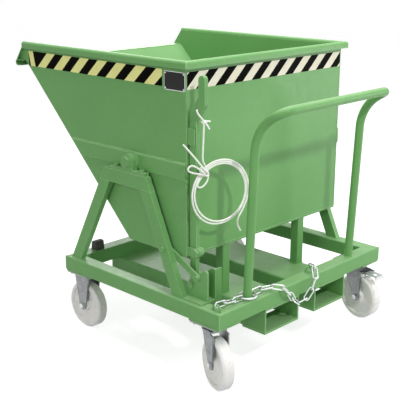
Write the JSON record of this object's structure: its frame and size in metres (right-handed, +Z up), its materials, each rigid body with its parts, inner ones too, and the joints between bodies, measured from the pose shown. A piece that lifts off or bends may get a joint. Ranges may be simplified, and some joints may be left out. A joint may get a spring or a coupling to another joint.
{
  "type": "tipping skip trolley",
  "caption": "Wheeled frame with fork pockets carrying an open skip that tips forward on side trunnions, with push handle, release lever and pull rope.",
  "frame": {"origin": "on the floor, on the middle plane between the sides, midway between the pouring lip and the back of the push handle", "axes": "+Z up, +X to the push handle, so the skip pours towards -X, and the release lever is on the -Y side"},
  "size_m": [1.3808, 1.0441, 1.2],
  "materials": {
    "green_paint": "semi-gloss sprayed enamel on steel",
    "zinc_plated_steel": "bright zinc plating",
    "cast_polyamide": "off-white cast polyamide",
    "buffer_rubber": "dull moulded rubber",
    "polypropylene_cord": "white laid cord"
  },
  "bodies": {
    "trolley": {"bearing_left": "green_paint", "bearing_right": "green_paint", "catch_brace": "green_paint", "catch_bracket": "green_paint", "catch_pin": "green_paint", "chain_anchors": "green_paint", "corner_plates": "green_paint", "fork_pocket_left": "green_paint", "fork_pocket_right": "green_paint", "frame_bolts": "green_paint", "front_axles": "zinc_plated_steel", "front_beam": "green_paint", "front_left_fork": "zinc_plated_steel", "front_right_fork": "zinc_plated_steel", "left_rail": "green_paint", "pocket_straps": "green_paint", "push_handle": "green_paint", "rear_beam": "green_paint", "rear_left_swivel_plate": "zinc_plated_steel", "rear_right_swivel_plate": "zinc_plated_steel", "rest_posts": "green_paint", "right_rail": "green_paint", "safety_chain": "zinc_plated_steel", "snap_hook": "zinc_plated_steel", "stand_front_leg_left": "green_paint", "stand_front_leg_right": "green_paint", "stand_head_left": "green_paint", "stand_head_right": "green_paint", "stand_rear_leg_left": "green_paint", "stand_rear_leg_right": "green_paint", "tip_buffers": "buffer_rubber"},
    "skip": {"skip_left_wall": "green_paint", "skip_right_wall": "green_paint", "skip_rear_wall": "green_paint", "skip_floor": "green_paint", "skip_front_sheet": "green_paint", "rim_left": "green_paint", "rim_right": "green_paint", "rim_rear": "green_paint", "pouring_lip": "green_paint", "side_band_left": "green_paint", "side_band_right": "green_paint", "trunnion_left": "green_paint", "trunnion_right": "green_paint", "lever_brackets": "green_paint", "lever_pin": "green_paint"},
    "lever": {"release_lever": "green_paint", "rope_lead": "polypropylene_cord", "rope_coil": "polypropylene_cord", "rope_tie": "polypropylene_cord"},
    "front_left_wheel": {"front_left_wheel": "cast_polyamide"},
    "front_right_wheel": {"front_right_wheel": "cast_polyamide"},
    "rear_left_swivel": {"rear_left_fork": "zinc_plated_steel", "rear_left_pins": "zinc_plated_steel"},
    "rear_right_swivel": {"rear_right_fork": "zinc_plated_steel", "rear_right_pins": "zinc_plated_steel"},
    "rear_left_wheel": {"rear_left_wheel": "cast_polyamide"},
    "rear_right_wheel": {"rear_right_wheel": "cast_polyamide"},
    "rear_right_pedal": {"rear_right_brake_pedal": "zinc_plated_steel"}
  },
  "joints": [
    {"name": "skip_tip", "type": "hinge", "parent": "trolley", "child": "skip", "pos_m": [0.05357, 0, 0.795], "axis": [0, -1, 0], "range_deg": [0, 66]},
    {"name": "lever_release", "type": "hinge", "parent": "skip", "child": "lever", "pos_m": [0.37957, -0.445, 0.495], "axis": [0, 1, 0], "range_deg": [0, 10]},
    {"name": "front_left_roll", "type": "hinge", "parent": "trolley", "child": "front_left_wheel", "pos_m": [-0.27342, -0.454, 0.1], "axis": [0, 1, 0], "continuous": true},
    {"name": "front_right_roll", "type": "hinge", "parent": "trolley", "child": "front_right_wheel", "pos_m": [-0.27342, 0.454, 0.1], "axis": [0, 1, 0], "continuous": true},
    {"name": "rear_left_turn", "type": "hinge", "parent": "trolley", "child": "rear_left_swivel", "pos_m": [0.46758, -0.454, 0.225], "axis": [0, 0, 1], "continuous": true},
    {"name": "rear_left_roll", "type": "hinge", "parent": "rear_left_swivel", "child": "rear_left_wheel", "pos_m": [0.51208, -0.47198, 0.1], "axis": [0.3746, 0.9272, 0], "continuous": true},
    {"name": "rear_right_turn", "type": "hinge", "parent": "trolley", "child": "rear_right_swivel", "pos_m": [0.46758, 0.454, 0.225], "axis": [0, 0, 1], "continuous": true},
    {"name": "rear_right_roll", "type": "hinge", "parent": "rear_right_swivel", "child": "rear_right_wheel", "pos_m": [0.51522, 0.44815, 0.1], "axis": [0.1219, 0.9925, 0], "continuous": true},
    {"name": "rear_right_brake", "type": "hinge", "parent": "rear_right_swivel", "child": "rear_right_pedal", "pos_m": [0.55293, 0.44352, 0.2107], "axis": [0.1219, 0.9925, 0], "range_deg": [0, 15]}
  ]
}
